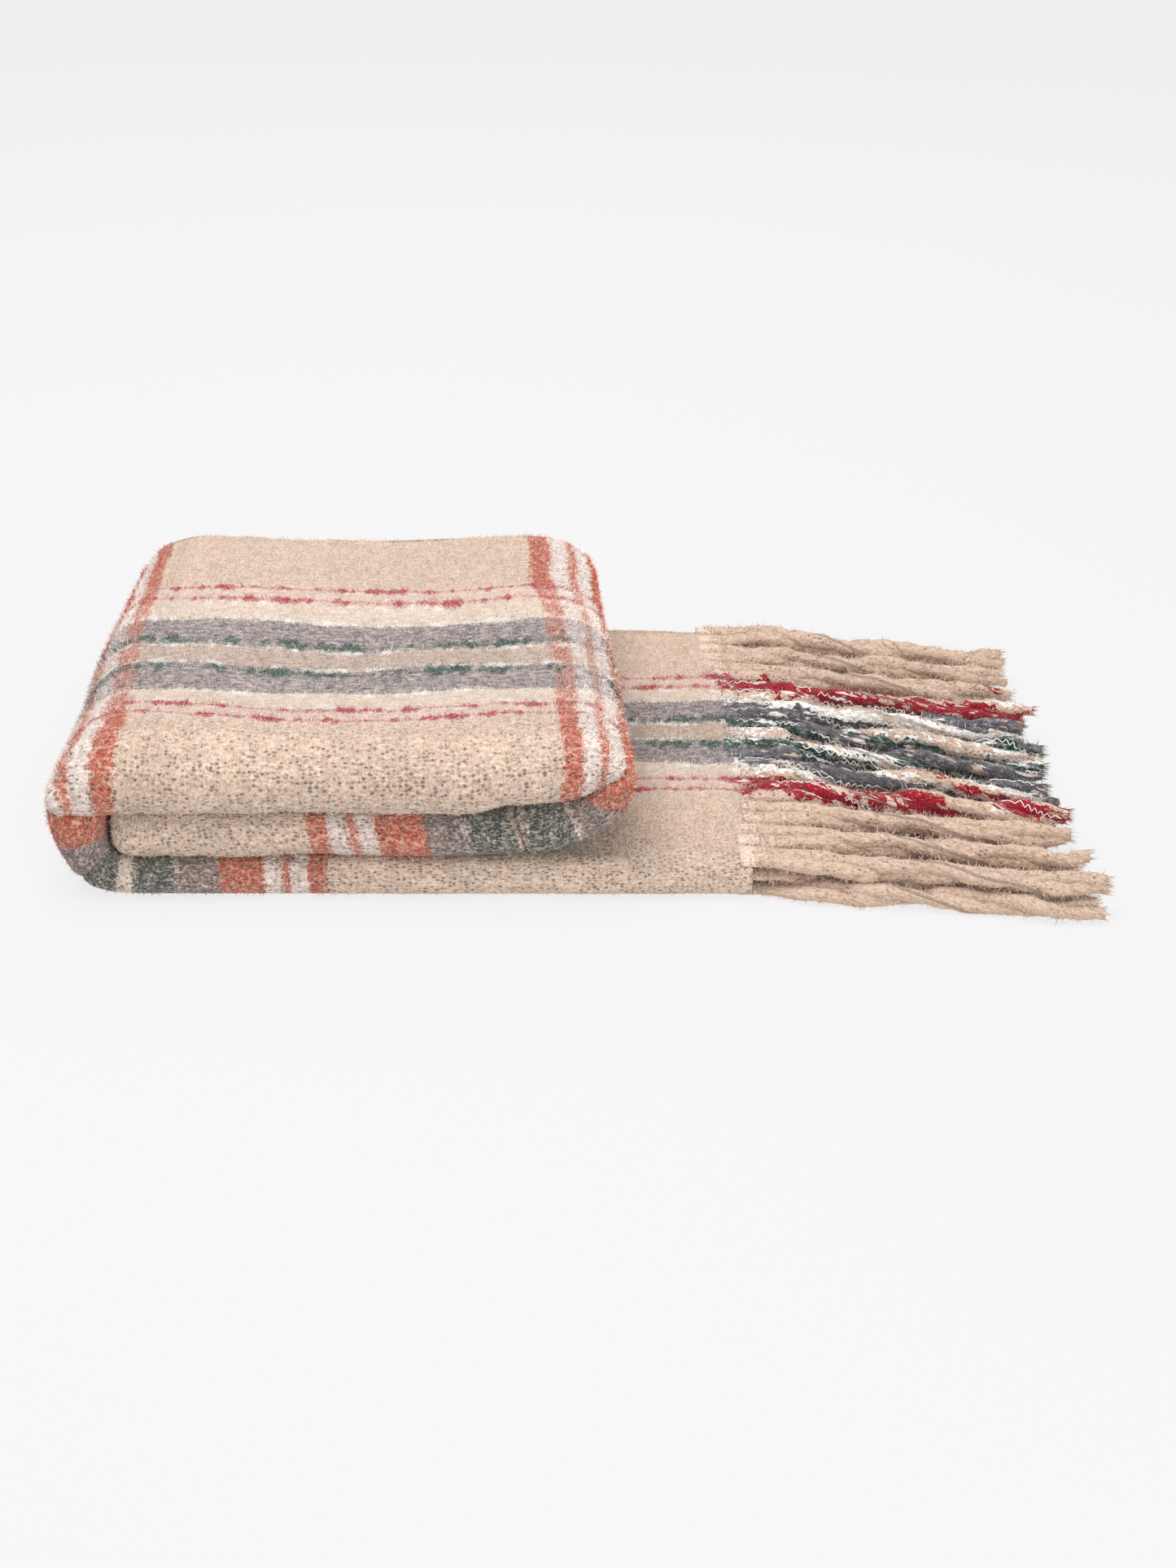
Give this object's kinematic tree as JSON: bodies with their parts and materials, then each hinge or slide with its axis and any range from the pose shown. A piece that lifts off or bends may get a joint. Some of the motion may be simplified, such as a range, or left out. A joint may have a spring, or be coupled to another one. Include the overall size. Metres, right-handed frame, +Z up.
{
  "type": "folded throw blanket",
  "caption": "Brushed plaid throw blanket folded in thirds and then over itself into a soft stack, with a long twisted tassel fringe lying out to one side.",
  "frame": {"origin": "centre of the footprint, on the surface the blanket lies on", "axes": "+Z up, +X from the stack towards the free fringe, -Y the side with the rolled front folds"},
  "size_m": [0.7611, 0.4508, 0.1186],
  "materials": {
    "cloth_sand": "brushed woven cloth, matt",
    "yarn_sand": "brushed yarn, sand",
    "yarn_red": "brushed yarn, red",
    "yarn_grey": "brushed yarn, grey",
    "yarn_green": "brushed yarn, dark green",
    "yarn_cream": "brushed yarn, cream"
  },
  "bodies": {
    "blanket": {"woven_panel": "cloth_sand", "fringe_middle_01": "yarn_sand", "fringe_lower_01": "yarn_sand", "fringe_middle_02": "yarn_sand", "fringe_lower_02": "yarn_sand", "fringe_middle_03": "yarn_sand", "fringe_lower_03": "yarn_sand", "fringe_middle_04": "yarn_red", "fringe_lower_04": "yarn_sand", "fringe_middle_05": "yarn_cream", "fringe_lower_05": "yarn_red", "fringe_middle_06": "yarn_green", "fringe_lower_06": "yarn_grey", "fringe_middle_07": "yarn_grey", "fringe_lower_07": "yarn_grey", "fringe_middle_08": "yarn_grey", "fringe_lower_08": "yarn_green", "fringe_middle_09": "yarn_red", "fringe_lower_09": "yarn_cream", "fringe_middle_10": "yarn_sand", "fringe_lower_10": "yarn_red", "fringe_middle_11": "yarn_sand", "fringe_lower_11": "yarn_sand", "fringe_middle_12": "yarn_sand", "fringe_lower_12": "yarn_sand", "tucked_upper_01": "yarn_sand", "tucked_upper_02": "yarn_sand", "tucked_upper_03": "yarn_cream", "tucked_upper_04": "yarn_grey", "tucked_upper_05": "yarn_grey", "tucked_upper_06": "yarn_red", "tucked_upper_07": "yarn_sand", "tucked_middle_01": "yarn_sand", "tucked_middle_02": "yarn_sand", "tucked_middle_03": "yarn_cream", "tucked_middle_04": "yarn_grey", "tucked_middle_05": "yarn_grey", "tucked_middle_06": "yarn_red", "tucked_middle_07": "yarn_sand", "tucked_lower_01": "yarn_sand", "tucked_lower_02": "yarn_sand", "tucked_lower_03": "yarn_cream", "tucked_lower_04": "yarn_green", "tucked_lower_05": "yarn_green", "tucked_lower_06": "yarn_cream", "tucked_lower_07": "yarn_red", "tucked_lower_08": "yarn_sand"},
    "tassel_01": {"fringe_upper_01": "yarn_sand"},
    "tassel_02": {"fringe_upper_02": "yarn_sand"},
    "tassel_03": {"fringe_upper_03": "yarn_sand"},
    "tassel_04": {"fringe_upper_04": "yarn_sand"},
    "tassel_05": {"fringe_upper_05": "yarn_red"},
    "tassel_06": {"fringe_upper_06": "yarn_grey"},
    "tassel_07": {"fringe_upper_07": "yarn_grey"},
    "tassel_08": {"fringe_upper_08": "yarn_grey"},
    "tassel_09": {"fringe_upper_09": "yarn_cream"},
    "tassel_10": {"fringe_upper_10": "yarn_sand"},
    "tassel_11": {"fringe_upper_11": "yarn_sand"},
    "tassel_12": {"fringe_upper_12": "yarn_sand"}
  },
  "joints": [
    {"name": "tassel_lift_01", "type": "hinge", "parent": "blanket", "child": "tassel_01", "pos_m": [0.12136, -0.1799, 0.026], "axis": [0, -1, 0], "range_deg": [0, 90]},
    {"name": "tassel_lift_02", "type": "hinge", "parent": "blanket", "child": "tassel_02", "pos_m": [0.12259, -0.1449, 0.026], "axis": [0, -1, 0], "range_deg": [0, 90]},
    {"name": "tassel_lift_03", "type": "hinge", "parent": "blanket", "child": "tassel_03", "pos_m": [0.12381, -0.1099, 0.026], "axis": [0, -1, 0], "range_deg": [0, 90]},
    {"name": "tassel_lift_04", "type": "hinge", "parent": "blanket", "child": "tassel_04", "pos_m": [0.12504, -0.0749, 0.026], "axis": [0, -1, 0], "range_deg": [0, 90]},
    {"name": "tassel_lift_05", "type": "hinge", "parent": "blanket", "child": "tassel_05", "pos_m": [0.12626, -0.0399, 0.026], "axis": [0, -1, 0], "range_deg": [0, 90]},
    {"name": "tassel_lift_06", "type": "hinge", "parent": "blanket", "child": "tassel_06", "pos_m": [0.12749, -0.0049, 0.026], "axis": [0, -1, 0], "range_deg": [0, 90]},
    {"name": "tassel_lift_07", "type": "hinge", "parent": "blanket", "child": "tassel_07", "pos_m": [0.12871, 0.0301, 0.026], "axis": [0, -1, 0], "range_deg": [0, 90]},
    {"name": "tassel_lift_08", "type": "hinge", "parent": "blanket", "child": "tassel_08", "pos_m": [0.12994, 0.0651, 0.026], "axis": [0, -1, 0], "range_deg": [0, 90]},
    {"name": "tassel_lift_09", "type": "hinge", "parent": "blanket", "child": "tassel_09", "pos_m": [0.13116, 0.1001, 0.026], "axis": [0, -1, 0], "range_deg": [0, 90]},
    {"name": "tassel_lift_10", "type": "hinge", "parent": "blanket", "child": "tassel_10", "pos_m": [0.13239, 0.1351, 0.026], "axis": [0, -1, 0], "range_deg": [0, 90]},
    {"name": "tassel_lift_11", "type": "hinge", "parent": "blanket", "child": "tassel_11", "pos_m": [0.13361, 0.1701, 0.026], "axis": [0, -1, 0], "range_deg": [0, 90]},
    {"name": "tassel_lift_12", "type": "hinge", "parent": "blanket", "child": "tassel_12", "pos_m": [0.13484, 0.2051, 0.026], "axis": [0, -1, 0], "range_deg": [0, 90]}
  ]
}
